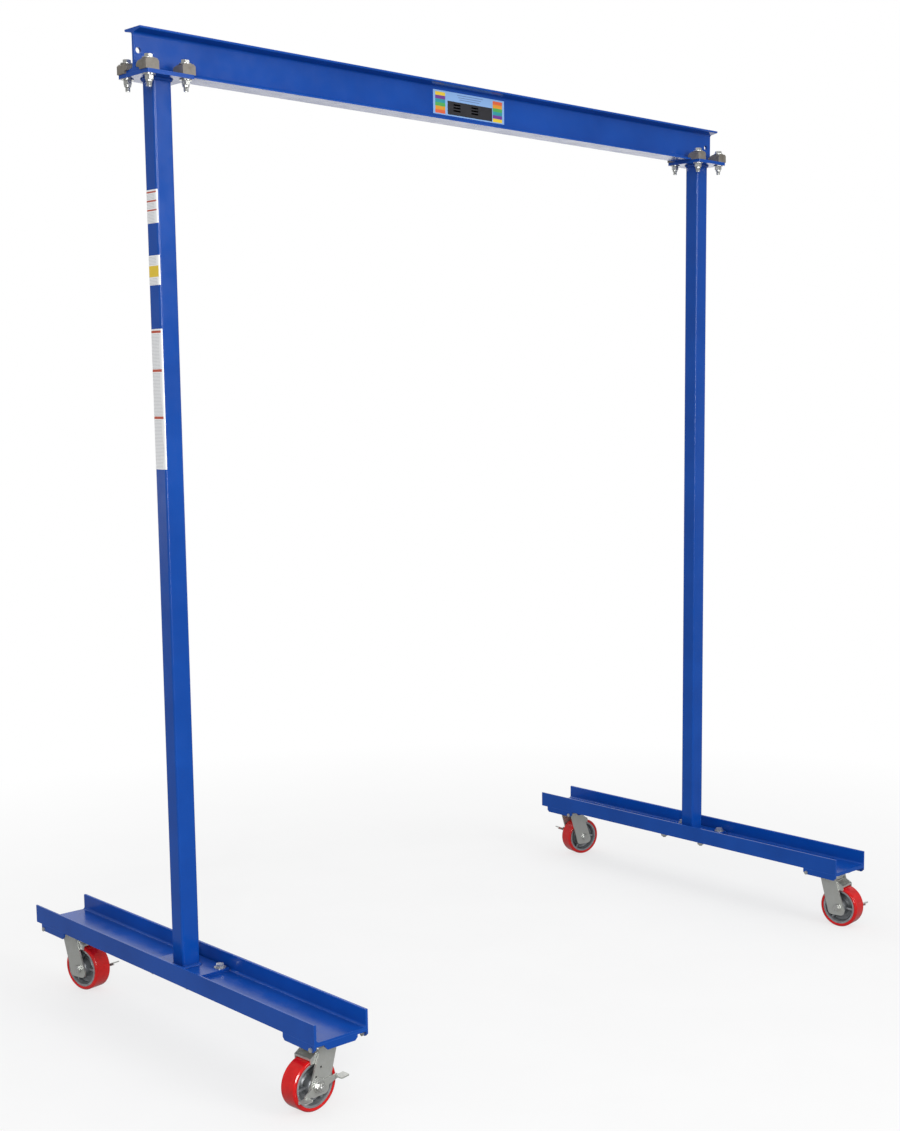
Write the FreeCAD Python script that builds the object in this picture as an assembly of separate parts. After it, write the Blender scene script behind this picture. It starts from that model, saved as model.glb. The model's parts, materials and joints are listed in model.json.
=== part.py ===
import FreeCAD, Part
import math
import os

# Portable gantry crane on four braked swivel casters. Millimetres.
# X runs along the beam, Y along the two base channels, Z up.
# The origin is on the floor, under the middle of the beam and midway between the channels.

V = FreeCAD.Vector
UP = V(0, 0, 1)

# Frame
POST_X = 984.0              # post and channel centreline from the middle of the beam
CHANNEL_Z = 182.0           # underside of the base channels above the floor
CHANNEL_L = 1325.0
CHANNEL_W = 152.4
CHANNEL_H = 48.8
CHANNEL_T = 6.0
CHANNEL_FILLET = 6.5
CHANNEL_TOE = 2.5
SOLE_X, SOLE_Y, SOLE_T = 127.0, 203.0, 9.5
SOLE_HOLE_X, SOLE_HOLE_Y = 95.0, 165.0
POST_W = 50.8
POST_WALL = 4.8
POST_R = 6.0
TOP_PLATE_Z = 2403.75       # underside of the top plates
TOP_X, TOP_Y, TOP_T = 127.0, 136.0, 9.5
CLAMP_PITCH = 99.0          # square pattern of the clamp bolts
PLATE_CORNER = 3.0

# Beam, a standard tapered-flange I section
BEAM_L = 2090.0
BEAM_H = 101.6
BEAM_W = 71.0
BEAM_WEB = 8.3
FLANGE_TOE = 5.2
FLANGE_ROOT = 10.2
STOP_HOLE_R = 7.15
STOP_HOLE_END = {-1: 12.0, 1: 22.0}     # stop-bolt hole centre from the beam's left and right end
BEAM_FILLET = 7.0
TOE_FILLET = 3.0

# Beam clamps
CLAMP_X = 35.0
CLAMP_H = 25.0
CLAMP_HEEL = 67.0           # outer face from the beam's centreline
CLAMP_NOSE = 22.0           # tip of the nose from the beam's centreline
CLAMP_NOSE_H = 15.0
CLAMP_SLOPE = 13.0          # length of the sloping top behind the nose
CLAMP_CHAMFER = 5.0
CLAMP_GAP = 0.1

# Half-inch fasteners and smaller ones: (shank diameter, across flats, head, nut)
HALF_INCH = (12.7, 19.05, 8.2, 10.9)
THREE_EIGHTHS = (9.5, 14.3, 6.2, 8.2)
QUARTER_INCH = (6.35, 11.1, 4.2, 5.6)
WASHER_T = 2.4
WASHER_R = 0.8               # washer radius as a share of the across-flats size
SHORT_TAIL = 4.0            # bare thread past a nut
CLAMP_TAIL = 11.0
COLLAR = (8.2, 5.0)         # locking collar on a clamp nut: radius, height
STUD_TAIL = 1.9
THREAD_PITCH = 1.95
THREAD_DEPTH = 0.75
HOLE_PLAY = 0.4

# Caster brackets, one under each channel end
BRACKET_L = 125.0
BRACKET_T = 5.0
BRACKET_LIP = 18.0          # lip depth below the channel
BRACKET_CHAMFER = 7.0
END_LIP_W = 92.0
LIP_BOLT_DROP = 12.4
LIP_BOLT_IN = 13.0

# Casters, 5 x 2 inch wheel
WHEEL_R = 63.5
WHEEL_W = 50.8
TREAD_T = 9.5
TREAD_ROUND = 4.0
RIM_T = 6.0
RIM_W = 46.0
WEB_W = 9.0
HUB_R = 22.0
HUB_L = 56.0
RIBS = 3
RIB_T = 6.0
RIB_W = 34.0
RIB_TURN = 26.0             # first rib, from straight up towards the leading side
TRAIL = 41.0                # swivel axis to axle
MOUNT_PLATE = (114.3, 95.3, 6.4)
MOUNT_HOLES = (92.0, 62.0)
RACE_R = 37.0
RACE_H = 7.6
RACE_GAP = 0.5
FORK_RACE_T = 5.5
CROWN_T = 5.5
LEG_T = 5.0
LEG_GAP = 29.5              # wheel plane to a leg's inner face
LEG_TOP = (-19.0, 33.0)     # leading and trailing edge at the crown, from the swivel axis
LEG_FOOT = (12.0, 66.0)     # the same at the foot
LEG_HEEL = 5.5              # the trailing edge turns straight down this far below the axle
LEG_BELOW = 24.0            # foot below the axle
LEG_ROUND = 14.0
KINGPIN_R = 9.0
AXLE_R = 6.35
BUSH_R = 9.5
BEARING_R = 15.0
BEARING_L = 40.0
ROLLERS = 12
RUNNING = 0.05              # radial running clearance

# Brake: a see-saw lever on the axle and a shoe hinged under the crown. The lever is drawn
# half way through its travel, where both its pedals are level.
LEVER_T = 3.0
LEVER_GAP = 0.3
LEVER_HUB = 19.0
LEVER_ARM_W = (26.0, 11.0)  # arm width at the axle and at its end
TRAIL_ARM = (44.0, -19.0)   # reach from the axle and angle above level
FRONT_ARM = (57.0, 174.5)
PEDAL_OUT = 25.0
PEDAL_L = 25.0
PEDAL_LAP = 6.0             # how far a pedal reaches back over its arm
PEDAL_ROUND = 5.0
BRAKE_SWING = 20.0          # lever travel each way from level, degrees
SHOE_THROW = 5.5            # shoe travel as the lever goes all the way, degrees
SHOE_GAP = 1.6              # released shoe above the tread
SHOE_L, SHOE_W, SHOE_T = 34.0, 58.0, 3.0
SHOE_CURL = 5.0
SKIRT = 9.5                 # the shoe's sides reach this far down beside the tread
SHOE_PIVOT = (30.0, 143.5)  # from the swivel axis, and above the floor
SHOE_PIN_R = 2.5
SHOE_EAR_R = 4.8
LINK_HOLE = 5.0             # square holes in the leg behind the lever
LINK_HOLES = ((31.0, 107.5), (46.0, 87.5))

# corner: (x side, swivel axis y, trail direction in degrees, lever's turn from level)
# A lever turned by BRAKE_SWING holds the brake on, and by minus BRAKE_SWING releases it.
CASTERS = {
    "front_left": (-1, -583.0, 184.0, 5.0),
    "rear_left": (-1, 576.0, -78.0, -20.0),
    "front_right": (1, -591.0, -82.0, -20.0),
    "rear_right": (1, 592.0, -11.0, 20.0),
}
# bracket outward end from the channel's end, and the side its end lip is on
BRACKETS = {
    "front_left": (0.0, "outer"),
    "rear_left": (29.0, "outer"),
    "front_right": (0.0, "inner"),
    "rear_right": (29.0, "inner"),
}

SOLE_TOP = CHANNEL_Z + CHANNEL_T + SOLE_T
BEAM_Z = TOP_PLATE_Z + TOP_T
CASTER_Z = CHANNEL_Z - BRACKET_T - MOUNT_PLATE[2]
RACE_Z = CASTER_Z - RACE_H
FORK_TOP = RACE_Z - RACE_GAP
CROWN_Z = FORK_TOP - FORK_RACE_T - CROWN_T
LEG_OUT = LEG_GAP + LEG_T


def box(x0, x1, y0, y1, z0, z1):
    return Part.makeBox(x1 - x0, y1 - y0, z1 - z0, V(x0, y0, z0))


def cyl(r, length, base, axis=UP):
    return Part.makeCylinder(r, length, base, axis)


def ring(r_in, r_out, length, base, axis=UP):
    return cyl(r_out, length, base, axis).cut(cyl(r_in, length, base, axis))


def prism(points, along):
    wire = Part.makePolygon(points + [points[0]])
    return Part.Face(wire).extrude(along)


def rounded(shape, radius, chosen):
    """Fillets the straight edges that a test on the edge picks out."""
    edges = [e for e in shape.Edges if chosen(e)]
    return shape.makeFillet(radius, edges)


def parallel(edge, axis):
    if not isinstance(edge.Curve, Part.Line):
        return False
    return abs(abs(edge.Curve.Direction.dot(axis)) - 1) < 1e-6


def hexagon(across, height, base, axis=UP):
    """A hexagon prism with its corners turned off at both ends."""
    r = across / math.sqrt(3)
    corners = [V(r * math.cos(math.radians(60 * i)), r * math.sin(math.radians(60 * i)), 0)
               for i in range(6)]
    body = prism(corners, V(0, 0, height))
    drop = (r - across / 2) * 0.55
    cone = across / 2 + 0.1
    profile = [V(0, 0, 0), V(cone, 0, 0), V(r + 0.1, 0, drop), V(r + 0.1, 0, height - drop),
               V(cone, 0, height), V(0, 0, height)]
    turned = Part.Face(Part.makePolygon(profile + [profile[0]])).revolve(V(0, 0, 0), UP, 360)
    return placed(body.common(turned), base, axis)


def placed(shape, base, axis):
    """Moves a shape made along +Z from the origin so that it runs along axis from base."""
    out = shape.copy()
    out.Placement = FreeCAD.Placement(base, FreeCAD.Rotation(UP, axis))
    return out


def shank(diameter, length, threaded, base, axis=UP):
    """A round shank whose far end has thread grooves and a chamfered tip."""
    r = diameter / 2
    core = r - THREAD_DEPTH
    profile = [V(0, 0, 0), V(r, 0, 0)]
    turns = int(threaded / THREAD_PITCH)
    z = length - turns * THREAD_PITCH
    for _ in range(turns):
        profile.append(V(r, 0, z))
        profile.append(V(core, 0, z + THREAD_PITCH / 2))
        z += THREAD_PITCH
    profile += [V(core, 0, length), V(0, 0, length)]
    solid = Part.Face(Part.makePolygon(profile + [profile[0]])).revolve(V(0, 0, 0), UP, 360)
    return placed(solid, base, axis)


def bolt(spec, length, threaded, seat, axis):
    """A hex bolt: seat is under the head, and axis runs down the shank."""
    head = hexagon(spec[1], spec[2], seat - axis * spec[2], axis)
    return head.fuse(shank(spec[0], length, threaded, seat, axis)).removeSplitter()


def nut(spec, base, axis):
    body = hexagon(spec[1], spec[3], base, axis)
    return body.cut(cyl(spec[0] / 2 + RUNNING, spec[3], base, axis))


def lock_nut(spec, base, axis):
    """A hex nut with a round locking collar on its far face."""
    r, height = COLLAR
    collar = ring(spec[0] / 2 + RUNNING, r, height, base + axis * spec[3], axis)
    return nut(spec, base, axis).fuse(collar).removeSplitter()


def washer(spec, base, axis):
    r_in = spec[0] / 2 + HOLE_PLAY / 2
    return ring(r_in, spec[1] * WASHER_R, WASHER_T, base, axis)


def grid(pitch_x, pitch_y):
    return [(sx * pitch_x / 2, sy * pitch_y / 2) for sx in (-1, 1) for sy in (-1, 1)]


def drilled(shape, spec, centre, pattern, z0, z1):
    r = (spec[0] + HOLE_PLAY) / 2
    for dx, dy in pattern:
        shape = shape.cut(cyl(r, z1 - z0, V(centre.x + dx, centre.y + dy, z0)))
    return shape


def rounded_plate(cx, cy, lx, ly, z0, t, radius):
    plate = box(cx - lx / 2, cx + lx / 2, cy - ly / 2, cy + ly / 2, z0, z0 + t)
    return rounded(plate, radius, lambda e: parallel(e, UP))


# ---------------------------------------------------------------- frame

def beam():
    half, web = BEAM_W / 2, BEAM_WEB / 2
    quarter = [(half, 0), (half, FLANGE_TOE), (web, FLANGE_ROOT)]
    low = [V(0, y, z) for y, z in quarter]
    high = [V(0, y, BEAM_H - z) for y, z in reversed(quarter)]
    right = low + high
    left = [V(0, -p.y, p.z) for p in reversed(right)]
    solid = prism(right + left, V(BEAM_L, 0, 0))
    solid.translate(V(-BEAM_L / 2, 0, BEAM_Z))

    def root(e):
        return parallel(e, V(1, 0, 0)) and abs(abs(e.CenterOfMass.y) - web) < 0.01

    def toe(e):
        z = e.CenterOfMass.z - BEAM_Z
        inner = min(abs(z - FLANGE_TOE), abs(z - BEAM_H + FLANGE_TOE)) < 0.01
        return parallel(e, V(1, 0, 0)) and inner

    solid = rounded(solid, BEAM_FILLET, root)
    solid = rounded(solid, TOE_FILLET, toe)
    for side, end in STOP_HOLE_END.items():
        x = side * (BEAM_L / 2 - end)
        hole = cyl(STOP_HOLE_R, BEAM_WEB * 2, V(x, -BEAM_WEB, BEAM_Z + BEAM_H / 2), V(0, 1, 0))
        solid = solid.cut(hole)
    return solid


def post(side):
    x = side * POST_X
    z0, z1 = SOLE_TOP, TOP_PLATE_Z
    h = POST_W / 2
    outer = rounded(box(x - h, x + h, -h, h, z0, z1), POST_R, lambda e: parallel(e, UP))
    h -= POST_WALL
    inner = rounded(box(x - h, x + h, -h, h, z0, z1), 2.0, lambda e: parallel(e, UP))
    return outer.cut(inner)


def top_plate(side):
    x = side * POST_X
    plate = rounded_plate(x, 0, TOP_X, TOP_Y, TOP_PLATE_Z, TOP_T, PLATE_CORNER)
    return drilled(plate, HALF_INCH, V(x, 0, 0), grid(CLAMP_PITCH, CLAMP_PITCH),
                   TOP_PLATE_Z, TOP_PLATE_Z + TOP_T)


def sole_plate(side):
    x = side * POST_X
    z0 = CHANNEL_Z + CHANNEL_T
    plate = rounded_plate(x, 0, SOLE_X, SOLE_Y, z0, SOLE_T, PLATE_CORNER)
    return drilled(plate, HALF_INCH, V(x, 0, 0), grid(SOLE_HOLE_X, SOLE_HOLE_Y),
                   z0, z0 + SOLE_T)


def base_channel(side):
    x = side * POST_X
    h, t = CHANNEL_W / 2, CHANNEL_T
    y0 = -CHANNEL_L / 2
    section = [V(x - h, y0, 0), V(x + h, y0, 0), V(x + h, y0, CHANNEL_H),
               V(x + h - t, y0, CHANNEL_H), V(x + h - t, y0, t), V(x - h + t, y0, t),
               V(x - h + t, y0, CHANNEL_H), V(x - h, y0, CHANNEL_H)]
    solid = prism(section, V(0, CHANNEL_L, 0))
    solid.translate(V(0, 0, CHANNEL_Z))

    def inner(e, level):
        c = e.CenterOfMass
        on_wall = abs(abs(c.x - x) - h + t) < 0.01
        return parallel(e, V(0, 1, 0)) and on_wall and abs(c.z - CHANNEL_Z - level) < 0.01

    solid = rounded(solid, CHANNEL_FILLET, lambda e: inner(e, CHANNEL_T))
    solid = rounded(solid, CHANNEL_TOE, lambda e: inner(e, CHANNEL_H))
    return drilled(solid, HALF_INCH, V(x, 0, 0), grid(SOLE_HOLE_X, SOLE_HOLE_Y),
                   CHANNEL_Z, CHANNEL_Z + CHANNEL_T)


def clamp(x, y_side):
    """A cast block that bears on the top plate and hooks over the beam's lower flange."""
    edge = BEAM_W / 2 + CLAMP_GAP
    slope = (FLANGE_ROOT - FLANGE_TOE) / (BEAM_W / 2 - BEAM_WEB / 2)
    under = FLANGE_TOE + CLAMP_GAP
    tip = under + slope * (edge - CLAMP_NOSE)
    outline = [(CLAMP_HEEL, 0), (CLAMP_HEEL, CLAMP_H), (CLAMP_NOSE + CLAMP_SLOPE, CLAMP_H),
               (CLAMP_NOSE, CLAMP_NOSE_H), (CLAMP_NOSE, tip), (edge, under), (edge, 0)]
    x0 = x - CLAMP_X / 2
    points = [V(x0, y_side * y, BEAM_Z + z) for y, z in outline]
    block = prism(points, V(CLAMP_X, 0, 0))
    top = BEAM_Z + CLAMP_H
    c = CLAMP_CHAMFER
    far = y_side * (CLAMP_HEEL + 1)
    for s in (-1, 1):
        face = x + s * CLAMP_X / 2
        corner = [V(face - s * c, far, top), V(face, far, top - c), V(face, far, top + c)]
        block = block.cut(prism(corner, V(0, -y_side * (CLAMP_HEEL + 1), 0)))
    y = y_side * CLAMP_PITCH / 2
    r = (HALF_INCH[0] + HOLE_PLAY) / 2
    return block.cut(cyl(r, CLAMP_H, V(x, y, BEAM_Z)))


def clamp_places():
    half = CLAMP_PITCH / 2
    return [(side * POST_X + dx, y_side) for side in (-1, 1) for dx in (-half, half)
            for y_side in (-1, 1)]


def beam_clamps():
    return [clamp(x, y_side) for x, y_side in clamp_places()]


def clamp_bolts():
    seat = BEAM_Z + CLAMP_H + WASHER_T
    grip = seat - TOP_PLATE_Z
    length = grip + WASHER_T + HALF_INCH[3] + COLLAR[1] + CLAMP_TAIL
    y = CLAMP_PITCH / 2
    return [bolt(HALF_INCH, length, 45.0, V(x, s * y, seat), V(0, 0, -1))
            for x, s in clamp_places()]


def clamp_nuts():
    out = []
    y = CLAMP_PITCH / 2
    for x, s in clamp_places():
        out.append(washer(HALF_INCH, V(x, s * y, BEAM_Z + CLAMP_H), UP))
        out.append(washer(HALF_INCH, V(x, s * y, TOP_PLATE_Z - WASHER_T), UP))
        below = TOP_PLATE_Z - WASHER_T
        out.append(lock_nut(HALF_INCH, V(x, s * y, below), V(0, 0, -1)))
    return out


def sole_places():
    return [V(side * POST_X + dx, dy, 0) for side in (-1, 1)
            for dx, dy in grid(SOLE_HOLE_X, SOLE_HOLE_Y)]


def sole_bolts():
    seat = SOLE_TOP + WASHER_T
    length = seat - CHANNEL_Z + WASHER_T + HALF_INCH[3] + SHORT_TAIL
    return [bolt(HALF_INCH, length, 20.0, p + V(0, 0, seat), V(0, 0, -1))
            for p in sole_places()]


def sole_nuts():
    out = []
    for p in sole_places():
        out.append(washer(HALF_INCH, p + V(0, 0, SOLE_TOP), UP))
        out.append(washer(HALF_INCH, p + V(0, 0, CHANNEL_Z - WASHER_T), UP))
        out.append(nut(HALF_INCH, p + V(0, 0, CHANNEL_Z - WASHER_T), V(0, 0, -1)))
    return out


# -------------------------------------------------------------- brackets

def bracket_span(corner):
    """Lowest and highest y of a bracket, and its end lip's direction along y."""
    y_side = 1 if CASTERS[corner][1] > 0 else -1
    inset, lip = BRACKETS[corner]
    outer = y_side * (CHANNEL_L / 2 - inset)
    inner = outer - y_side * BRACKET_L
    lip_side = y_side if lip == "outer" else -y_side
    return min(outer, inner), max(outer, inner), lip_side


def lip_bolt_y(corner):
    y0, y1, lip_side = bracket_span(corner)
    if lip_side < 0:
        return y0 + LIP_BOLT_IN
    return y1 - LIP_BOLT_IN


def caster_bracket(corner):
    """An inverted pan with two side lips, one end lip and open corners."""
    side, axis_y, _, _ = CASTERS[corner]
    x = side * POST_X
    y0, y1, lip_side = bracket_span(corner)
    z1 = CHANNEL_Z
    z0 = z1 - BRACKET_LIP
    h = CHANNEL_W / 2
    solid = box(x - h, x + h, y0, y1, z1 - BRACKET_T, z1)
    c = BRACKET_CHAMFER
    for s in (-1, 1):
        face = x + s * h
        outline = [V(face, y0, z1), V(face, y1, z1), V(face, y1, z0 + c), V(face, y1 - c, z0),
                   V(face, y0 + c, z0), V(face, y0, z0 + c)]
        solid = solid.fuse(prism(outline, V(-s * BRACKET_T, 0, 0)))
    end = y1 - BRACKET_T if lip_side > 0 else y0
    w = END_LIP_W / 2
    outline = [V(x - w, end, z1), V(x + w, end, z1), V(x + w, end, z0 + c),
               V(x + w - c, end, z0), V(x - w + c, end, z0), V(x - w, end, z0 + c)]
    solid = solid.fuse(prism(outline, V(0, BRACKET_T, 0))).removeSplitter()
    solid = drilled(solid, THREE_EIGHTHS, V(x, axis_y, 0), grid(*MOUNT_HOLES), z0, z1)
    r = (QUARTER_INCH[0] + HOLE_PLAY) / 2
    hole = cyl(r, CHANNEL_W + 2, V(x - h - 1, lip_bolt_y(corner), z1 - LIP_BOLT_DROP), V(1, 0, 0))
    return solid.cut(hole)


def lip_bolts():
    """A short bolt and nut through each side lip, next to the bracket's end lip."""
    out = []
    for corner, (side, _, _, _) in CASTERS.items():
        for s in (-1, 1):
            out_dir = V(s, 0, 0)
            face = V(side * POST_X + s * CHANNEL_W / 2, lip_bolt_y(corner),
                     CHANNEL_Z - LIP_BOLT_DROP)
            length = BRACKET_T + QUARTER_INCH[3] + 1.5
            out.append(bolt(QUARTER_INCH, length, 8.0, face, out_dir * -1))
            out.append(nut(QUARTER_INCH, face - out_dir * BRACKET_T, out_dir * -1))
    return out


def caster_studs():
    """Studs welded flush into the brackets, with the washers and nuts that hold the casters."""
    out = []
    for side, axis_y, _, _ in CASTERS.values():
        for dx, dy in grid(*MOUNT_HOLES):
            p = V(side * POST_X + dx, axis_y + dy, 0)
            below = CASTER_Z - WASHER_T
            length = CHANNEL_Z - below + THREE_EIGHTHS[3] + STUD_TAIL
            out.append(shank(THREE_EIGHTHS[0], length, 10.0, p + V(0, 0, CHANNEL_Z), V(0, 0, -1)))
            out.append(washer(THREE_EIGHTHS, p + V(0, 0, below), UP))
            out.append(nut(THREE_EIGHTHS, p + V(0, 0, below), V(0, 0, -1)))
    return out


# --------------------------------------------------------------- casters
# A caster is modelled at the origin of the floor under its swivel axis, with the
# wheel trailing along +X and the brake on the +Y side, and then put in its corner.

AXLE = V(TRAIL, 0, WHEEL_R)
ACROSS = V(0, 1, 0)


def mount_plate():
    lx, ly, t = MOUNT_PLATE
    plate = rounded_plate(0, 0, lx, ly, CASTER_Z, t, 9.0)
    plate = drilled(plate, THREE_EIGHTHS, V(0, 0, 0), grid(*MOUNT_HOLES), CASTER_Z, CASTER_Z + t)
    race = [V(0, 0, RACE_Z), V(RACE_R - 3, 0, RACE_Z), V(RACE_R, 0, RACE_Z + 2.5),
            V(RACE_R + 1.5, 0, CASTER_Z), V(0, 0, CASTER_Z)]
    dome = Part.Face(Part.makePolygon(race + [race[0]])).revolve(V(0, 0, 0), UP, 360)
    solid = plate.fuse(dome).removeSplitter()
    return solid.cut(cyl(KINGPIN_R + RUNNING, 40, V(0, 0, RACE_Z - 1)))


def kingpin():
    low = CROWN_Z
    head = hexagon(27.0, 7.0, V(0, 0, low), V(0, 0, -1))
    return head.fuse(cyl(KINGPIN_R, CASTER_Z + 5.0 - low, V(0, 0, low))).removeSplitter()


def leg(y_in, y_dir):
    """One slanting side plate with a rounded foot."""
    top, foot, heel = CROWN_Z + CROWN_T, WHEEL_R - LEG_BELOW, WHEEL_R - LEG_HEEL
    outline = [(LEG_TOP[0], top), (LEG_TOP[1], top), (LEG_TOP[1], CROWN_Z), (LEG_FOOT[1], heel),
               (LEG_FOOT[1], foot), (LEG_FOOT[0], foot), (LEG_TOP[0], CROWN_Z)]
    plate = prism([V(x, y_in, z) for x, z in outline], V(0, y_dir * LEG_T, 0))
    return rounded(plate, LEG_ROUND, lambda e: parallel(e, ACROSS)
                   and abs(e.CenterOfMass.z - foot) < 0.01)


def fork():
    crown = box(*LEG_TOP, -LEG_OUT, LEG_OUT, CROWN_Z, CROWN_Z + CROWN_T)
    solid = crown.fuse([leg(LEG_GAP, 1), leg(-LEG_GAP, -1)]).removeSplitter()

    def shoulder(e):
        c = e.CenterOfMass
        outer = abs(abs(c.y) - LEG_OUT) < 0.01
        return parallel(e, V(1, 0, 0)) and outer and abs(c.z - CROWN_Z - CROWN_T) < 0.01

    solid = rounded(solid, 5.0, shoulder)
    race_z = CROWN_Z + CROWN_T
    cup = [V(0, 0, race_z), V(RACE_R + 1, 0, race_z), V(RACE_R, 0, race_z + 3.5),
           V(RACE_R - 3, 0, FORK_TOP), V(0, 0, FORK_TOP)]
    drum = Part.Face(Part.makePolygon(cup + [cup[0]])).revolve(V(0, 0, 0), UP, 360)
    floor = cyl(RACE_R + 1, CROWN_T, V(0, 0, CROWN_Z))
    solid = solid.fuse([drum, floor]).removeSplitter()
    solid = solid.cut(cyl(KINGPIN_R + RUNNING, 60, V(0, 0, CROWN_Z - 20)))
    across = 4 * LEG_OUT
    solid = solid.cut(cyl(AXLE_R + RUNNING, across, AXLE - ACROSS * across / 2, ACROSS))
    pin = V(SHOE_PIVOT[0], -across / 2, SHOE_PIVOT[1])
    solid = solid.cut(cyl(SHOE_PIN_R + RUNNING, across, pin, ACROSS))
    h = LINK_HOLE / 2
    for x, z in LINK_HOLES:
        solid = solid.cut(box(x - h, x + h, 0, across, z - h, z + h))
    return solid


def axle_bolt():
    start = AXLE - ACROSS * LEG_OUT
    stack = 2 * LEG_OUT + LEVER_GAP + LEVER_T + 0.2 + WASHER_T
    length = stack + HALF_INCH[3] + SHORT_TAIL
    return [bolt(HALF_INCH, length, 18.0, start, ACROSS),
            washer(HALF_INCH, start + ACROSS * (stack - WASHER_T), ACROSS),
            nut(HALF_INCH, start + ACROSS * stack, ACROSS)]


def axle_bush():
    half = LEG_GAP - RUNNING
    return ring(AXLE_R + RUNNING, BUSH_R, 2 * half, AXLE - ACROSS * half, ACROSS)


def wheel_bearing():
    """A caged roller bearing: rollers joined by a ring at each end."""
    half = BEARING_L / 2
    middle = (BUSH_R + BEARING_R) / 2
    roller_r = (BEARING_R - BUSH_R) / 2 - RUNNING
    solid = ring(BUSH_R + 0.6, BEARING_R - 0.6, 2.5, AXLE - ACROSS * half, ACROSS)
    far = ring(BUSH_R + 0.6, BEARING_R - 0.6, 2.5, AXLE + ACROSS * (half - 2.5), ACROSS)
    parts = [far]
    for i in range(ROLLERS):
        a = 2 * math.pi * i / ROLLERS
        at = AXLE + V(middle * math.cos(a), -half, middle * math.sin(a))
        parts.append(cyl(roller_r, BEARING_L, at, ACROSS))
    return solid.fuse(parts).removeSplitter()


def turned(profile):
    """Turns a profile of (radius, distance across) points about the axle."""
    points = [AXLE + V(0, y, r) for r, y in profile]
    wire = Part.makePolygon(points + [points[0]])
    return Part.Face(wire).revolve(AXLE, ACROSS, 360)


def wheel_core():
    rim_out = WHEEL_R - TREAD_T
    rim_in = rim_out - RIM_T
    hub, rim, web = HUB_L / 2, RIM_W / 2, WEB_W / 2
    half = [(BEARING_R, hub), (HUB_R - 2, hub), (HUB_R, hub - 2), (HUB_R + 3, web + 4),
            (HUB_R + 7, web), (rim_in - 14, web), (rim_in - 5, web + 4),
            (rim_in, rim), (rim_out, rim)]
    solid = turned(half + [(r, -y) for r, y in reversed(half)])
    blades = []
    for i in range(RIBS):
        blade = box(TRAIL - RIB_T / 2, TRAIL + RIB_T / 2, -RIB_W / 2, RIB_W / 2,
                    WHEEL_R + HUB_R - 2, WHEEL_R + rim_in + 2)
        blade.rotate(AXLE, ACROSS, 360 / RIBS * i - RIB_TURN)
        blades.append(blade)
    return solid.fuse(blades).removeSplitter()


def tread():
    inner = WHEEL_R - TREAD_T
    half = WHEEL_W / 2
    shoulder = TREAD_ROUND
    profile = [(inner, half - 1.5), (WHEEL_R - shoulder, half), (WHEEL_R, half - shoulder)]
    solid = turned(profile + [(r, -y) for r, y in reversed(profile)])

    def lip(e):
        if not isinstance(e.Curve, Part.Circle):
            return False
        at_shoulder = abs(e.Curve.Radius - WHEEL_R + shoulder) < 0.01
        return at_shoulder or abs(e.Curve.Radius - WHEEL_R) < 0.01

    return rounded(solid, 2.2, lip)


def arm(reach, angle, y):
    """A flat tapered bar from the axle."""
    a = math.radians(angle)
    out = V(math.cos(a), 0, math.sin(a))
    wide, narrow = (V(-math.sin(a), 0, math.cos(a)) * (w / 2) for w in LEVER_ARM_W)
    at = AXLE + V(0, y, 0)
    end = at + out * reach
    return prism([at + wide, end + narrow, end - narrow, at - wide], V(0, LEVER_T, 0))


def pedal(reach, angle, y):
    """A level foot tab bent outward from an arm's end."""
    a = math.radians(angle)
    forward = 1 if math.cos(a) > 0 else -1
    end = AXLE + V(math.cos(a), 0, math.sin(a)) * reach
    x0, x1 = sorted((end.x - forward * PEDAL_LAP, end.x + forward * (PEDAL_L - PEDAL_LAP)))
    low, high = end.z - LEVER_ARM_W[1] / 2, end.z + LEVER_T / 2
    tab = box(x0, x1, y, y + PEDAL_OUT, high - LEVER_T, high)
    root = box(x0, x1, y, y + LEVER_T, low, high)
    return rounded(tab.fuse(root).removeSplitter(), PEDAL_ROUND, lambda e: parallel(e, UP)
                   and abs(e.CenterOfMass.y - y - PEDAL_OUT) < 0.01)


def brake_lever():
    y = LEG_OUT + LEVER_GAP
    hub = cyl(LEVER_HUB, LEVER_T, AXLE + V(0, y, 0), ACROSS)
    parts = [arm(*TRAIL_ARM, y), arm(*FRONT_ARM, y), pedal(*TRAIL_ARM, y), pedal(*FRONT_ARM, y)]
    solid = hub.fuse(parts).removeSplitter()
    return solid.cut(cyl(AXLE_R + RUNNING, LEVER_T, AXLE + V(0, y, 0), ACROSS))


def brake_shoe():
    """A pressed shoe over the tread: its sides hang beside the wheel, and a pin hinges it."""
    near = AXLE.z + WHEEL_R + SHOE_GAP
    trailing, leading = AXLE.x + SHOE_L / 2, AXLE.x - SHOE_L / 2
    half = SHOE_W / 2
    pivot = V(SHOE_PIVOT[0], 0, SHOE_PIVOT[1])
    rise = V(0, 0, SHOE_EAR_R)
    outline = [pivot + rise, V(trailing, 0, near + SHOE_CURL), V(trailing, 0, near - SKIRT),
               V(AXLE.x, 0, near - SKIRT), V(leading, 0, near), pivot - rise]
    parts = [box(trailing - SHOE_T, trailing, -half, half, near, near + SHOE_CURL),
             cyl(SHOE_PIN_R, 2 * LEG_OUT, pivot - ACROSS * LEG_OUT, ACROSS)]
    for y in (-half, half - SHOE_T):
        side = V(0, y, 0)
        parts.append(prism([point + side for point in outline], V(0, SHOE_T, 0)))
        parts.append(cyl(SHOE_EAR_R, SHOE_T, pivot + side, ACROSS))
    plate = box(leading, trailing, -half, half, near, near + SHOE_T)
    return plate.fuse(parts).removeSplitter()


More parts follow.
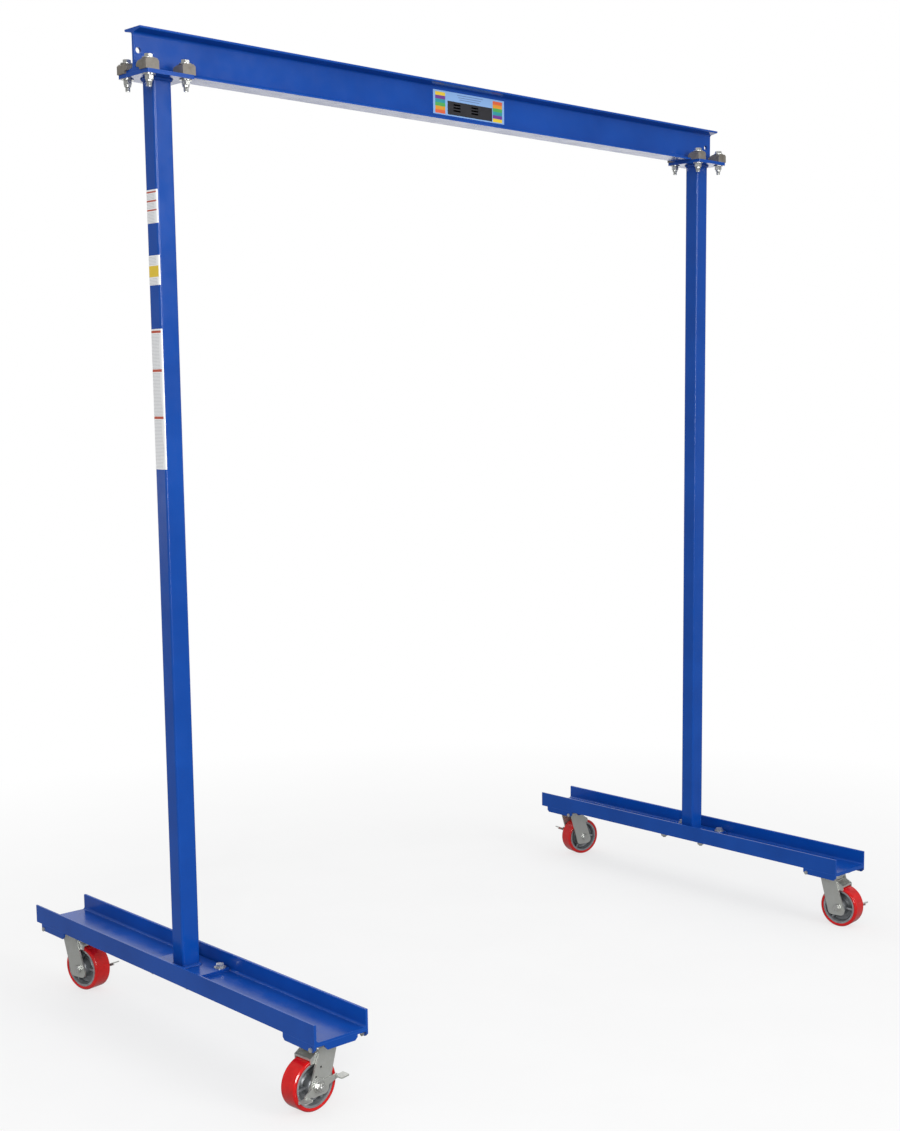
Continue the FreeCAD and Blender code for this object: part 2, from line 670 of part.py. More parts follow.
def in_corner(shapes, corner, fixed=False):
    """Puts a caster's part in its corner. A fixed part doesn't turn with the swivel."""
    side, y, trail, _ = CASTERS[corner]
    trail = 0.0 if fixed else trail
    out = []
    for shape in shapes if isinstance(shapes, list) else [shapes]:
        shape = shape.copy()
        shape.rotate(V(0, 0, 0), UP, trail)
        shape.translate(V(side * POST_X, y, 0))
        out.append(shape)
    return out


def turned_by(shape, pivot, degrees):
    shape = shape.copy()
    shape.rotate(pivot, ACROSS, degrees)
    return shape


def casters():
    shoe_pivot = V(SHOE_PIVOT[0], 0, SHOE_PIVOT[1])
    common = {
        "mount_plate": mount_plate(), "kingpin": kingpin(), "fork": fork(),
        "axle_bolt": axle_bolt(), "axle_bush": axle_bush(), "wheel_bearing": wheel_bearing(),
        "wheel_core": wheel_core(), "tread": tread(),
    }
    lever, shoe = brake_lever(), brake_shoe()
    out = {}
    for corner, (_, _, _, turn) in CASTERS.items():
        for name, shape in common.items():
            fixed = name in ("mount_plate", "kingpin")
            out[f"{name}_{corner}"] = in_corner(shape, corner, fixed)
        share = (turn + BRAKE_SWING) / (2 * BRAKE_SWING)
        out[f"brake_lever_{corner}"] = in_corner(turned_by(lever, AXLE, turn), corner)
        out[f"brake_shoe_{corner}"] = in_corner(
            turned_by(shoe, shoe_pivot, share * SHOE_THROW), corner)
    return out


def model():
    nodes = {"beam": beam()}
    for word, side in (("left", -1), ("right", 1)):
        nodes[f"post_{word}"] = post(side)
        nodes[f"top_plate_{word}"] = top_plate(side)
        nodes[f"sole_plate_{word}"] = sole_plate(side)
        nodes[f"base_channel_{word}"] = base_channel(side)
    for corner in CASTERS:
        nodes[f"caster_bracket_{corner}"] = caster_bracket(corner)
    nodes["beam_clamps"] = beam_clamps()
    nodes["clamp_bolts"] = clamp_bolts()
    nodes["clamp_nuts"] = clamp_nuts()
    nodes["sole_bolts"] = sole_bolts()
    nodes["sole_nuts"] = sole_nuts()
    nodes["caster_studs"] = caster_studs()
    nodes["lip_bolts"] = lip_bolts()
    nodes.update(casters())
    return nodes


os.makedirs("parts", exist_ok=True)
for node, shape in model().items():
    pieces = shape if isinstance(shape, list) else [shape]
    whole = pieces[0] if len(pieces) == 1 else Part.makeCompound(pieces)
    whole.exportStep(f"parts/{node}.step")
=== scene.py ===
import json
import math

import bmesh
import bpy
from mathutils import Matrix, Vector


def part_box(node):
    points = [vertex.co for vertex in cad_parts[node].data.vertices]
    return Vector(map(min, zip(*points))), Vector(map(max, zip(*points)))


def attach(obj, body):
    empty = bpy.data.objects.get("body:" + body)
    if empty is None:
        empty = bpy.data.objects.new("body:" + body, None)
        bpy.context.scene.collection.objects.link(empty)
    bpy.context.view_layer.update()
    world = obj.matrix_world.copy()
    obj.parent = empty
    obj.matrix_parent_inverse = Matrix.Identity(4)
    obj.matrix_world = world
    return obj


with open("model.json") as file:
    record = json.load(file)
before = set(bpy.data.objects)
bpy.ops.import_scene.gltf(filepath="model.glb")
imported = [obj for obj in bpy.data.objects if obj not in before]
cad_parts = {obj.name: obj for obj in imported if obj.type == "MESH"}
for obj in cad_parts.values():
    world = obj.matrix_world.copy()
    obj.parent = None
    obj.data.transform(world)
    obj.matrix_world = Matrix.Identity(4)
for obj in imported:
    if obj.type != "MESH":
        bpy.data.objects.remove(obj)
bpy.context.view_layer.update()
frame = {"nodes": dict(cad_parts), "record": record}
MM = 0.001
BODY = "gantry_frame"
CORNERS = ("front_left", "rear_left", "front_right", "rear_right")
scene = bpy.context.scene

# ------------------------------------------------------------------ node helpers


class Nodes:
    """A short way to write a node tree: each call adds one node and returns its main output."""

    def __init__(self, tree, place):
        self.tree = tree
        self.nodes = tree.nodes
        self.place = self.add("ShaderNodeTexCoord").outputs[place]

    def add(self, kind, **settings):
        node = self.nodes.new(kind)
        for key, value in settings.items():
            setattr(node, key, value)
        return node

    def link(self, value, socket):
        if hasattr(value, "is_output"):
            self.tree.links.new(value, socket)
        else:
            socket.default_value = value

    def math(self, operation, a, b):
        node = self.add("ShaderNodeMath", operation=operation)
        self.link(a, node.inputs[0])
        self.link(b, node.inputs[1])
        return node.outputs[0]

    def stretched(self, x, y, z):
        node = self.add("ShaderNodeMapping")
        self.link(self.place, node.inputs["Vector"])
        node.inputs["Scale"].default_value = (x, y, z)
        return node.outputs[0]

    def noise(self, scale, detail=4.0, rough=0.55, where=None):
        node = self.add("ShaderNodeTexNoise")
        self.link(where or self.place, node.inputs["Vector"])
        node.inputs["Scale"].default_value = scale
        node.inputs["Detail"].default_value = detail
        node.inputs["Roughness"].default_value = rough
        return node.outputs[0]

    def cells(self, scale):
        node = self.add("ShaderNodeTexVoronoi")
        self.link(self.place, node.inputs["Vector"])
        node.inputs["Scale"].default_value = scale
        return node

    def ramp(self, value, low, high, at=(0.35, 0.65)):
        """Remaps value so that at[0] gives low and at[1] gives high, clamped."""
        node = self.add("ShaderNodeMapRange")
        self.link(value, node.inputs["Value"])
        node.inputs["From Min"].default_value = at[0]
        node.inputs["From Max"].default_value = at[1]
        node.inputs["To Min"].default_value = low
        node.inputs["To Max"].default_value = high
        return node.outputs[0]

    def mix(self, share, a, b):
        """a where share is 0, b where it is 1."""
        node = self.add("ShaderNodeMix", data_type="RGBA")
        self.link(share, node.inputs[0])
        for value, socket in ((a, node.inputs[6]), (b, node.inputs[7])):
            self.link(value if hasattr(value, "is_output") else (*value, 1.0), socket)
        return node.outputs[2]

    def bump(self, height, strength, distance, under=None):
        node = self.add("ShaderNodeBump")
        self.link(height, node.inputs["Height"])
        node.inputs["Strength"].default_value = strength
        node.inputs["Distance"].default_value = distance
        if under is not None:
            self.link(under, node.inputs["Normal"])
        return node.outputs[0]

    def edges(self, radius):
        """1 where the surface turns a corner within radius, 0 on flat faces."""
        soft = self.add("ShaderNodeBevel", samples=4)
        soft.inputs["Radius"].default_value = radius
        flat = self.add("ShaderNodeNewGeometry").outputs["Normal"]
        dot = self.add("ShaderNodeVectorMath", operation="DOT_PRODUCT")
        self.link(soft.outputs[0], dot.inputs[0])
        self.link(flat, dot.inputs[1])
        return self.ramp(dot.outputs["Value"], 1.0, 0.0, at=(0.80, 0.995))

    def crevices(self, distance):
        """1 in the open, towards 0 in inside corners."""
        node = self.add("ShaderNodeAmbientOcclusion", samples=4)
        node.inputs["Distance"].default_value = distance
        return node.outputs["AO"]

    def towards(self, heading):
        """How far the place, or the direction, lies along heading."""
        node = self.add("ShaderNodeVectorMath", operation="DOT_PRODUCT")
        self.link(self.place, node.inputs[0])
        node.inputs[1].default_value = heading
        return node.outputs["Value"]

    def pick(self, ray, yes, no):
        """yes where ray is 1, no where it is 0."""
        node = self.add("ShaderNodeMix", data_type="FLOAT")
        self.link(ray, node.inputs[0])
        self.link(no, node.inputs[2])
        self.link(yes, node.inputs[3])
        return node.outputs[0]


class Shader(Nodes):
    """The nodes of a new material, laid out by the object's own coordinates."""

    def __init__(self, name):
        self.material = bpy.data.materials.new(name)
        self.material.use_nodes = True
        super().__init__(self.material.node_tree, "Object")
        self.out = self.nodes["Material Output"]
        self.bsdf = self.nodes["Principled BSDF"]

    def set(self, **inputs):
        for key, value in inputs.items():
            self.link(value, self.bsdf.inputs[key.replace("_", " ")])


# --------------------------------------------------------------------- materials


# Colours are linear. Lengths are in metres; noise scales are in cycles a metre.
ENAMEL_DEEP, ENAMEL_BRIGHT = (0.0020, 0.060, 0.345), (0.0040, 0.074, 0.405)
ENAMEL_PAINTED_SHADE, ENAMEL_THIN = (0.008, 0.028, 0.200), (0.03, 0.13, 0.52)
ZINC_BOLT_TONES = ((0.74, 0.75, 0.73), (0.62, 0.63, 0.62))
ZINC_SHEET_TONES = ((0.76, 0.77, 0.74), (0.66, 0.68, 0.65))
ZINC_YELLOWED, ZINC_PAINTED_SHADE = (0.60, 0.60, 0.52), (0.14, 0.14, 0.135)
CASTING_TONES, CASTING_RUST = ((0.19, 0.172, 0.148), (0.30, 0.275, 0.24)), (0.17, 0.085, 0.045)
CASTING_RUBBED = (0.42, 0.40, 0.37)
IRON_TONES, IRON_PAINTED_SHADE = ((0.30, 0.32, 0.34), (0.46, 0.48, 0.50)), (0.035, 0.037, 0.040)
IRON_RUBBED = (0.56, 0.58, 0.60)
RED_TONES, RED_SCUFF = ((0.60, 0.004, 0.005), (0.70, 0.008, 0.008)), (0.42, 0.06, 0.05)
RED_GLOW = (0.006, 0.001, 0.001)        # how far light spreads inside the tread, by colour
STEEL_TONES = ((0.42, 0.42, 0.40), (0.58, 0.575, 0.55))
BRUSHED = (1400.0, 160.0, 60.0)         # drawing lines of sheet zinc, by axis
TURNED = (300.0, 2500.0, 300.0)         # tool marks across an axle, by axis
GRIME_SHADE = 0.72


def blue_enamel():
    """Sprayed gloss enamel: orange peel, mill waviness, painted shade in inside corners, thin on the
    edges.
    """
    s = Shader("blue_enamel")
    cloud = s.noise(5.0, detail=3.0)
    body = s.mix(s.ramp(cloud, 0.0, 1.0), ENAMEL_DEEP, ENAMEL_BRIGHT)
    # Painted shade: inside corners, within 60 mm, are mixed towards a darker violet blue.
    body = s.mix(s.ramp(s.crevices(60 * MM), 0.55, 0.0, at=(0.2, 0.8)), body, ENAMEL_PAINTED_SHADE)
    corner = s.edges(2.5 * MM)
    thin = s.math("MULTIPLY", corner, s.ramp(s.noise(70.0), 0.1, 0.45))
    body = s.mix(thin, body, ENAMEL_THIN)
    gloss = s.math("ADD", s.ramp(s.noise(24.0), 0.17, 0.25), s.math("MULTIPLY", corner, 0.12))
    waves = s.bump(s.noise(9.0, detail=2.0), strength=0.20, distance=1.2 * MM)
    normal = s.bump(s.noise(420.0, detail=2.0), strength=0.15, distance=0.15 * MM, under=waves)
    s.set(Base_Color=body, Roughness=gloss, Normal=normal, Specular_IOR_Level=0.40)
    return s.material


def zinc(name, tones, rough, grain):
    """Zinc plate: pale satin metal with a fine crystal grain, a faint yellow cast and painted shade in
    crevices.
    """
    s = Shader(name)
    crystal = s.add("ShaderNodeSeparateColor")
    s.link(s.cells(grain).outputs["Color"], crystal.inputs[0])
    metal = s.mix(s.ramp(crystal.outputs[0], 0.0, 1.0, at=(0.0, 1.0)), *tones)
    metal = s.mix(s.ramp(s.noise(60.0, detail=3.0), 0.0, 0.25), metal, ZINC_YELLOWED)
    # Painted shade: crevices are mixed towards dark grey, and the same mask makes them a little
    # rougher.
    painted_crevice_shade = s.ramp(s.crevices(12 * MM), 0.6, 0.0, at=(0.2, 0.8))
    metal = s.mix(painted_crevice_shade, metal, ZINC_PAINTED_SHADE)
    drawn = s.noise(1.0, detail=4.0, rough=0.6, where=s.stretched(*BRUSHED))
    rough_map = s.math("ADD", s.ramp(drawn, rough - 0.05, rough + 0.07),
                       s.math("MULTIPLY", painted_crevice_shade, 0.15))
    skin = s.bump(s.noise(900.0, detail=3.0), strength=0.18, distance=0.1 * MM)
    normal = s.bump(drawn, strength=0.10, distance=0.1 * MM, under=skin)
    s.set(Base_Color=metal, Metallic=0.8, Roughness=rough_map, Normal=normal)
    return s.material


def bare_casting():
    """Unpainted cast clamp: brown-grey scale, sandy skin, bright where the edges are rubbed."""
    s = Shader("bare_casting")
    scale = s.noise(45.0, detail=5.0)
    body = s.mix(s.ramp(scale, 0.0, 1.0), *CASTING_TONES)
    rust = s.ramp(s.noise(110.0, detail=6.0), 0.0, 0.35, at=(0.58, 0.78))
    body = s.mix(rust, body, CASTING_RUST)
    body = s.mix(s.math("MULTIPLY", s.edges(1.4 * MM), 0.6), body, CASTING_RUBBED)
    sand = s.bump(s.noise(520.0, detail=5.0, rough=0.7), strength=0.6, distance=0.35 * MM)
    normal = s.bump(s.noise(60.0, detail=2.0), strength=0.3, distance=1.2 * MM, under=sand)
    s.set(Base_Color=body, Metallic=0.35, Roughness=s.ramp(scale, 0.38, 0.58), Normal=normal)
    return s.material


def grey_iron():
    """Wheel core: grey paint over a cast skin, polished a little on the rim, painted shade in the
    pockets.
    """
    s = Shader("grey_iron")
    tone = s.noise(70.0, detail=4.0)
    body = s.mix(s.ramp(tone, 0.0, 1.0), *IRON_TONES)
    # Painted shade: the pockets between hub, ribs and rim darken almost to black.
    body = s.mix(s.ramp(s.crevices(30 * MM), 0.9, 0.0, at=(0.15, 0.85)), body, IRON_PAINTED_SHADE)
    body = s.mix(s.math("MULTIPLY", s.edges(1.2 * MM), 0.5), body, IRON_RUBBED)
    normal = s.bump(s.noise(380.0, detail=4.0, rough=0.65), strength=0.45, distance=0.4 * MM)
    s.set(Base_Color=body, Metallic=0.45, Roughness=s.ramp(tone, 0.30, 0.46), Normal=normal,
          Coat_Weight=0.25, Coat_Roughness=0.2)
    return s.material


def red_polyurethane():
    """Moulded tread: deep glossy red with a faint wave and scuffed, dusty patches."""
    s = Shader("red_polyurethane")
    tone = s.noise(40.0, detail=3.0)
    body = s.mix(s.ramp(tone, 0.0, 1.0), *RED_TONES)
    scuff = s.ramp(s.noise(95.0, detail=6.0, rough=0.7), 0.0, 0.20, at=(0.62, 0.80))
    body = s.mix(scuff, body, RED_SCUFF)
    gloss = s.math("ADD", s.ramp(tone, 0.13, 0.20), s.math("MULTIPLY", scuff, 0.6))
    normal = s.bump(s.noise(260.0, detail=2.0), strength=0.10, distance=0.3 * MM)
    s.set(Base_Color=body, Roughness=gloss, Normal=normal, Coat_Weight=0.3, Coat_Roughness=0.06,
          Subsurface_Weight=0.06, Subsurface_Radius=RED_GLOW)
    return s.material


def turned_steel():
    """Oiled turned steel with fine rings of tool marks."""
    s = Shader("turned_steel")
    tone = s.noise(120.0, detail=3.0)
    body = s.mix(s.ramp(tone, 0.0, 1.0), *STEEL_TONES)
    marks = s.noise(1.0, detail=3.0, where=s.stretched(*TURNED))
    normal = s.bump(marks, strength=0.2, distance=0.1 * MM)
    s.set(Base_Color=body, Metallic=0.95, Roughness=s.ramp(tone, 0.24, 0.38), Normal=normal)
    return s.material


def vinyl(name, colour):
    """Printed vinyl: a satin film with slight waviness and grime specks."""
    s = Shader(name)
    fleck = s.ramp(s.noise(240.0, detail=5.0), 0.0, 0.18, at=(0.55, 0.8))
    body = s.mix(fleck, colour, tuple(c * GRIME_SHADE for c in colour))
    normal = s.bump(s.noise(45.0, detail=2.0), strength=0.2, distance=0.4 * MM)
    s.set(Base_Color=body, Roughness=s.ramp(s.noise(90.0), 0.28, 0.42), Normal=normal,
          Coat_Weight=0.3, Coat_Roughness=0.12)
    return s.material


ENAMEL = blue_enamel()
ZINC_BOLT = zinc("zinc_bolt", ZINC_BOLT_TONES, rough=0.28, grain=1500.0)
ZINC_SHEET = zinc("zinc_sheet", ZINC_SHEET_TONES, rough=0.42, grain=1300.0)
CASTING = bare_casting()
IRON = grey_iron()
RED = red_polyurethane()
STEEL = turned_steel()
FINISH = {
    "blue_paint": ENAMEL, "zinc_fasteners": ZINC_BOLT, "zinc_pressings": ZINC_SHEET,
    "bare_casting": CASTING, "grey_iron": IRON, "red_polyurethane": RED, "turned_steel": STEEL,
}

# ------------------------------------------------------------ finish on CAD parts

slot_of = {s["node"]: s["material_slot"] for s in frame["record"]["subparts"]}
for node, obj in frame["nodes"].items():
    obj.data.materials.clear()
    obj.data.materials.append(FINISH[slot_of[node]])

# -------------------------------------------------------------------- new pieces


def piece(name, mesh, materials):
    """Adds mesh as a piece that rides on the frame."""
    for m in materials:
        mesh.materials.append(m)
    obj = bpy.data.objects.new(name, mesh)
    scene.collection.objects.link(obj)
    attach(obj, BODY)


def from_bmesh(name, bm, smooth=True):
    bmesh.ops.recalc_face_normals(bm, faces=bm.faces)
    mesh = bpy.data.meshes.new(name)
    bm.to_mesh(mesh)
    bm.free()
    for p in mesh.polygons:
        p.use_smooth = smooth
    return mesh


RIPPLE = 3.2 * MM           # pitch of the weld ripples
RIPPLE_CUTS = 4             # rings in a ripple
RIPPLE_SWELL = 0.13
DRIFT, DRIFT_PACE = 0.05, 0.37      # slow change in size along the bead, and its pace
BEAD_SIDES = 7
CORNER_EXTRA = 3            # rings added to each rounded corner
BEAD_BULGE = -0.10          # the face is hollow in the middle
BEAD_ROOT = 0.25            # how far the bead's root is sunk into the joint, of its leg


def rings_in(length):
    """How many rings a bead of this length needs."""
    return int(length / RIPPLE * RIPPLE_CUTS)


def bead_mesh(name, path, along_wall, leg, closed):
    """A fillet weld: a quarter-round bead along path, with overlapping ripples.

    path is a list of (point, outward) pairs at the root of the joint; the bead fills the corner
    between outward and along_wall."""
    bm = bmesh.new()
    rings = []
    for i, (root, outward) in enumerate(path):
        phase = (i % RIPPLE_CUTS) / RIPPLE_CUTS
        swell = 1.0 + RIPPLE_SWELL * math.sin(math.pi * phase) + DRIFT * math.sin(i * DRIFT_PACE)
        inset = BEAD_ROOT * leg
        ring = [bm.verts.new(root - outward * inset - along_wall * inset)]
        for k in range(BEAD_SIDES):
            a = math.pi / 2 * k / (BEAD_SIDES - 1)
            bulge = 1.0 + BEAD_BULGE * math.sin(2 * a)
            r = leg * swell * bulge
            ring.append(bm.verts.new(root + outward * (r * math.cos(a))
                                     + along_wall * (r * math.sin(a))))
        rings.append(ring)
    count = len(rings)
    for i in range(count if closed else count - 1):
        a, b = rings[i], rings[(i + 1) % count]
        for k in range(len(a)):
            j = (k + 1) % len(a)
            bm.faces.new((a[k], a[j], b[j], b[k]))
    if not closed:
        bm.faces.new(rings[0])
        bm.faces.new(list(reversed(rings[-1])))
    return from_bmesh(name, bm)


def square_path(centre, half, radius):
    """Points and outward directions round a square tube with rounded corners."""
    flat = half - radius
    out = []
    for quarter in range(4):
        turn = math.pi / 2 * quarter
        ux, uy = math.cos(turn), math.sin(turn)
        vx, vy = -uy, ux
        steps = rings_in(2 * flat)
        for i in range(steps):
            t = -flat + 2 * flat * i / steps
            out.append((Vector((centre[0] + ux * half + vx * t, centre[1] + uy * half + vy * t,
                                centre[2])), Vector((ux, uy, 0))))
        corner = Vector((centre[0] + (ux + vx) * flat, centre[1] + (uy + vy) * flat, centre[2]))
        bend = rings_in(math.pi / 2 * radius) + CORNER_EXTRA
        for i in range(bend):
            a = turn + math.pi / 2 * i / bend
            d = Vector((math.cos(a), math.sin(a), 0))
            out.append((corner + d * radius, d))
    return out


POST_RADIUS = 6.0 * MM
POST_LEG = 5.5 * MM
for side in ("left", "right"):
    low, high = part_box(f"post_{side}")
    middle = (low + high) / 2
    half = (high.x - low.x) / 2
    for end, z, up in (("top", high.z, -1), ("foot", low.z, 1)):
        path = square_path((middle.x, middle.y, z), half, POST_RADIUS)
        mesh = bead_mesh(f"weld_{end}_{side}", path, Vector((0, 0, up)), POST_LEG, True)
        piece(f"weld_{end}_{side}", mesh, [ENAMEL])

STITCH = 34.0 * MM
STITCH_LEG = 4.0 * MM
STITCH_AT = (-0.32, 0.32)   # from the bracket's middle, of its length
for corner in CORNERS:
    low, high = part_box(f"caster_bracket_{corner}")
    inner_y = high.y if abs(high.y) < abs(low.y) else low.y
    away = 1 if inner_y > low.y else -1
    x_mid = (low.x + high.x) / 2
    for n, offset in enumerate(STITCH_AT):
        x0 = x_mid + offset * (high.x - low.x) - STITCH / 2
        steps = rings_in(STITCH)
        path = [(Vector((x0 + STITCH * i / steps, inner_y, high.z)), Vector((0, away, 0)))
                for i in range(steps + 1)]
        name = f"weld_bracket_{corner}_{n + 1}"
        mesh = bead_mesh(name, path, Vector((0, 0, -1)), STITCH_LEG, False)
        piece(name, mesh, [ENAMEL])

# ------------------------------------------------------------------------ labels

LABEL_T = 0.25 * MM
PRINT_T = 0.06 * MM
FILM_GAP = 0.02 * MM

WHITE = vinyl("vinyl_white", (0.93, 0.94, 0.95))
GREY = vinyl("vinyl_grey", (0.58, 0.59, 0.61))
RUST = vinyl("vinyl_rust", (0.55, 0.075, 0.03))
YELLOW = vinyl("vinyl_yellow", (0.85, 0.60, 0.03))
ORANGE = vinyl("vinyl_orange", (0.78, 0.13, 0.04))
SKY = vinyl("vinyl_sky", (0.26, 0.46, 0.80))
SLATE = vinyl("vinyl_slate", (0.10, 0.13, 0.30))
BLACK = vinyl("vinyl_black", (0.02, 0.02, 0.025))
PURPLE = vinyl("vinyl_purple", (0.16, 0.04, 0.30))
TEAL = vinyl("vinyl_teal", (0.02, 0.32, 0.36))
GREEN = vinyl("vinyl_green", (0.08, 0.42, 0.09))
AMBER = vinyl("vinyl_amber", (0.80, 0.33, 0.02))
CREAM = vinyl("vinyl_cream", (0.80, 0.74, 0.36))


def film(bm, surface, u0, u1, v0, v1, lift, thick, material, step=0.0):
    """A thin sheet over surface(u, v, lift), cut into strips of width step where it bends."""
    count = max(1, round((u1 - u0) / step)) if step else 1
    columns = []
    for i in range(count + 1):
        u = u0 + (u1 - u0) * i / count
        rim = ((v0, lift), (v0, lift + thick), (v1, lift + thick), (v1, lift))
        columns.append([bm.verts.new(surface(u, v, d)) for v, d in rim])
    faces = [bm.faces.new(columns[0]), bm.faces.new(list(reversed(columns[-1])))]
    for a, b in zip(columns, columns[1:]):
        for k in range(4):
            j = (k + 1) % 4
            faces.append(bm.faces.new((a[k], b[k], b[j], a[j])))
    for face in faces:
        face.material_index = material


def label(name, surface, size, base, prints, step=0.0):
    """A vinyl label of size (u0, u1, v0, v1) in mm with printed blocks (u0, u1, v0, v1, ink)."""
    inks = [base]
    bm = bmesh.new()
    film(bm, surface, *size, FILM_GAP, LABEL_T, 0, step)
    for *block, ink in prints:
        if ink not in inks:
            inks.append(ink)
        film(bm, surface, *block, LABEL_T + 2 * FILM_GAP, PRINT_T, inks.index(ink), step)
    piece(name, from_bmesh(name, bm, smooth=False), inks)


WEB_FACE = -4.15 * MM


def on_web(u, v, lift):
    return Vector((u * MM, WEB_FACE - lift, v * MM))


BEAM_LABEL = (-125.5, 138.6, 2431.5, 2496.5)
PANEL = (-73.5, 92.8, 2434.8, 2471.6)
STRIPE_Z = (2490.0, 2484.0, 2478.0)     # each stripe is shorter than the one above it
STRIPE_U, STRIPE_H = (-38.0, 58.0), 1.3
STRIPE_IN = (4.0, -7.0)                 # how far each stripe's ends move in from the last one's
DASH_U, DASH_Z = (-52.0, 14.0), (2445.0, 2453.0, 2461.0)
DASH_W, DASH_H = 26.0, 4.2
BLOCK_U = (-118.0, 95.0)                # the two stacks of colour blocks
BLOCK_Z, BLOCK_H, BLOCK_W = 2434.5, 9.6, 36.0
BLOCK_INKS = (ORANGE, AMBER, GREEN, TEAL, PURPLE, YELLOW)
beam_prints = [(*PANEL, BLACK)]
beam_prints += [(STRIPE_U[0] + STRIPE_IN[0] * i, STRIPE_U[1] + STRIPE_IN[1] * i,
                 z, z + STRIPE_H, SLATE) for i, z in enumerate(STRIPE_Z)]
for left, inks in zip(BLOCK_U, (BLOCK_INKS, BLOCK_INKS[::-1])):
    beam_prints += [(left, left + BLOCK_W, BLOCK_Z + BLOCK_H * i, BLOCK_Z + BLOCK_H * (i + 1), ink)
                    for i, ink in enumerate(inks)]
beam_prints += [(u, u + DASH_W, z, z + DASH_H, CREAM) for u in DASH_U for z in DASH_Z]
label("label_beam", on_web, BEAM_LABEL, SKY, beam_prints)

post_low, post_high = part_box("post_left")
POST_FLAT = (post_high.y - post_low.y) / 2 - POST_RADIUS


def on_post(u, v, lift):
    """Height v and arc length u round the left post, from the middle of its outer face to the front."""
    s = abs(u) * MM
    hand = -1 if u > 0 else 1
    if s <= POST_FLAT:
        return Vector((post_low.x - lift, hand * s, v * MM))
    a = (s - POST_FLAT) / POST_RADIUS
    r = POST_RADIUS + lift
    return Vector((post_low.x + POST_RADIUS - r * math.cos(a),
                   hand * (POST_FLAT + r * math.sin(a)), v * MM))


RULE_PITCH, RULE_H = 3.4, 1.1
LABEL_U = (-25.0, 26.0)
BAR_U = (-24.6, 21.5)
RULE_U = (-21.6, 21.0)
RULE_RAG, RULE_PACE = 9.0, 0.9      # how ragged the rules' ends are, and how fast they change
RULE_CLEAR = 1.0                    # left free above the block or edge below
BEND_STEP = 1.5                     # strip width where a label wraps the corner


def rules(z0, z1, seed):
    """Plain grey rules of differing length between two heights."""
    out = []
    z = z1 - RULE_PITCH
    while z - RULE_H > z0 + RULE_CLEAR:
        end = RULE_U[1] - RULE_RAG * abs(math.sin(seed + z * RULE_PACE))
        out.append((RULE_U[0], end, z - RULE_H, z, GREY))
        z -= RULE_PITCH
    return out


# Each label: its name, bottom and top height, then its coloured bars (bottom, top, ink).
POST_LABELS = (
    ("label_post_upper", 2063.5, 2143.0,
     ((2092.9, 2096.3, RUST), (2114.3, 2118.1, RUST), (2135.5, 2139.1, RUST))),
    ("label_post_middle", 1916.5, 1987.5, ((1936.1, 1962.7, YELLOW),)),
    ("label_post_lower", 1470.0, 1811.7,
     ((1593.6, 1599.7, RUST), (1708.1, 1714.2, RUST), (1802.0, 1807.7, RUST))),
)
for name, bottom, top, bars in POST_LABELS:
    prints = [(*BAR_U, z0, z1, ink) for z0, z1, ink in bars]
    floors = [bottom] + [z1 for _, z1, _ in bars]
    tops = [z0 for z0, _, _ in bars] + [top]
    for z0, z1 in zip(floors, tops):
        prints += rules(z0, z1, bottom)
    label(name, on_post, (*LABEL_U, bottom, top), WHITE, prints, step=BEND_STEP)

# --------------------------------------------------------- floor, light and camera


scene.view_settings.view_transform = "Standard"
CAMERA_HEADING = math.radians(45.363)
AHEAD = (math.sin(CAMERA_HEADING), math.cos(CAMERA_HEADING), 0.0)
SHADY, SKY_LIGHT, FLOOR_LIGHT = 0.28, 0.95, 1.45    # what gloss mirrors beside and beyond
SKY_TURN = (0.62, 0.97)     # cosine off the camera's heading where the sky turns bright
FLOOR_TURN = (2.5, 8.0)     # metres ahead of the origin where the mirrored floor turns bright
AMBIENT = 0.72
WHITE_LIGHT = (1.0, 1.0, 1.0, 1.0)
FLOOR_RADIUS = 60.0
FLOOR_SEGMENTS = 96
SHADOW_EDGE = (1.4, 3.2)    # metres from the origin over which the floor's shadows fade


def surroundings():
    """White behind the object, dim round the camera, so that gloss stays dark and saturated."""
    world = bpy.data.worlds.new("studio")
    scene.world = world
    world.use_nodes = True
    s = Nodes(world.node_tree, "Generated")
    ray = s.add("ShaderNodeLightPath")
    mirrored = s.ramp(s.towards(AHEAD), SHADY, SKY_LIGHT, at=SKY_TURN)
    unseen = s.pick(ray.outputs["Is Glossy Ray"], mirrored, AMBIENT)
    strength = s.pick(ray.outputs["Is Camera Ray"], 1.0, unseen)
    back = s.nodes["Background"]
    back.inputs["Color"].default_value = WHITE_LIGHT
    s.link(strength, back.inputs["Strength"])


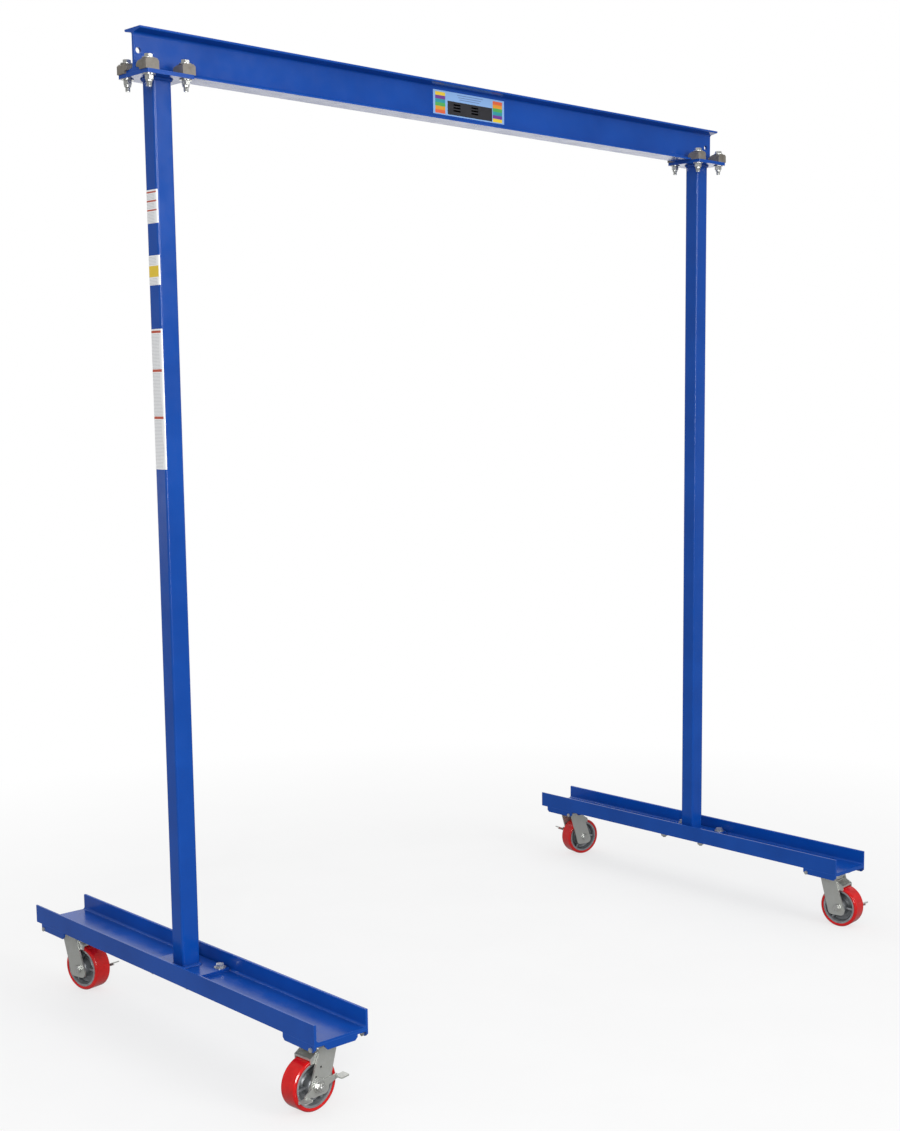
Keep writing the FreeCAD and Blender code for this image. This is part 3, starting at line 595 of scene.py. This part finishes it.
def floor():
    """A pale floor that runs into the white background."""
    s = Shader("studio_floor")
    speck = s.ramp(s.noise(3.0, 3.0), 0.80, 0.83)
    colour = s.add("ShaderNodeCombineColor")
    for channel in colour.inputs[:3]:
        s.link(speck, channel)
    s.set(Base_Color=colour.outputs[0], Roughness=0.7, Specular_IOR_Level=0.1)
    seen = s.add("ShaderNodeLightPath").outputs["Is Camera Ray"]
    glow = s.add("ShaderNodeEmission")
    glow.inputs["Color"].default_value = WHITE_LIGHT
    mirrored = s.ramp(s.towards(AHEAD), SHADY, FLOOR_LIGHT, at=FLOOR_TURN)
    s.link(s.pick(seen, 1.0, mirrored), glow.inputs["Strength"])
    # To the camera the floor fades to plain white; other rays see only the glow.
    far = s.add("ShaderNodeVectorMath", operation="LENGTH")
    s.link(s.place, far.inputs[0])
    share = s.ramp(far.outputs["Value"], 0.68, 1.0, at=SHADOW_EDGE)
    blend = s.add("ShaderNodeMixShader")
    s.link(s.pick(seen, share, 1.0), blend.inputs[0])
    s.link(s.bsdf.outputs[0], blend.inputs[1])
    s.link(glow.outputs[0], blend.inputs[2])
    s.link(blend.outputs[0], s.out.inputs["Surface"])
    bm = bmesh.new()
    bmesh.ops.create_circle(bm, cap_ends=True, segments=FLOOR_SEGMENTS, radius=FLOOR_RADIUS)
    obj = bpy.data.objects.new("studio_floor", from_bmesh("studio_floor", bm, False))
    obj.data.materials.append(s.material)
    scene.collection.objects.link(obj)


surroundings()
floor()


def softbox(name, at, target, size, watts):
    data = bpy.data.lights.new(name, "AREA")
    data.shape = "RECTANGLE"
    data.size, data.size_y = size
    data.energy = watts
    obj = bpy.data.objects.new(name, data)
    obj.location = at
    obj.rotation_euler = (Vector(target) - Vector(at)).to_track_quat("-Z", "Y").to_euler()
    scene.collection.objects.link(obj)


softbox("front", (-3.9, -4.3, 2.2), (0, 0, 1.3), (0.9, 2.6), 135)
softbox("side", (0.8, -6.0, 3.4), (0, 0, 1.2), (2.0, 2.0), 110)
softbox("back", (1.0, 6.0, 5.0), (0, 0, 1.2), (4.0, 2.0), 60)

# The view from this standpoint is off the lens's centre, so the lens is shifted. The shift
# belongs to this standpoint only: anywhere else the lens is centred.
CAMERA_AT = Vector((-3.1703, -3.6488, 1.6077))
DIP = math.radians(7.543)
LENS, SENSOR = 52.64, 36.0
FAR = 200.0
SAME_PLACE = 0.001
SHIFT = (-0.1302, 0.0590)
camera_data = bpy.data.cameras.new("camera")
camera = bpy.data.objects.new("camera", camera_data)
scene.collection.objects.link(camera)
camera.location = CAMERA_AT
camera.rotation_euler = (math.pi / 2 - DIP, 0, -CAMERA_HEADING)
camera_data.sensor_width = SENSOR
camera_data.lens = LENS
camera_data.clip_end = FAR
scene.camera = camera
for path, value in (("shift_x", SHIFT[0]), ("shift_y", SHIFT[1])):
    driver = camera_data.driver_add(path).driver
    driver.type = "SCRIPTED"
    where = driver.variables.new()
    where.name = "x"
    where.type = "TRANSFORMS"
    where.targets[0].id = camera
    where.targets[0].transform_type = "LOC_X"
    driver.expression = f"{value} * (abs(x + {-CAMERA_AT.x:.4f}) < {SAME_PLACE})"
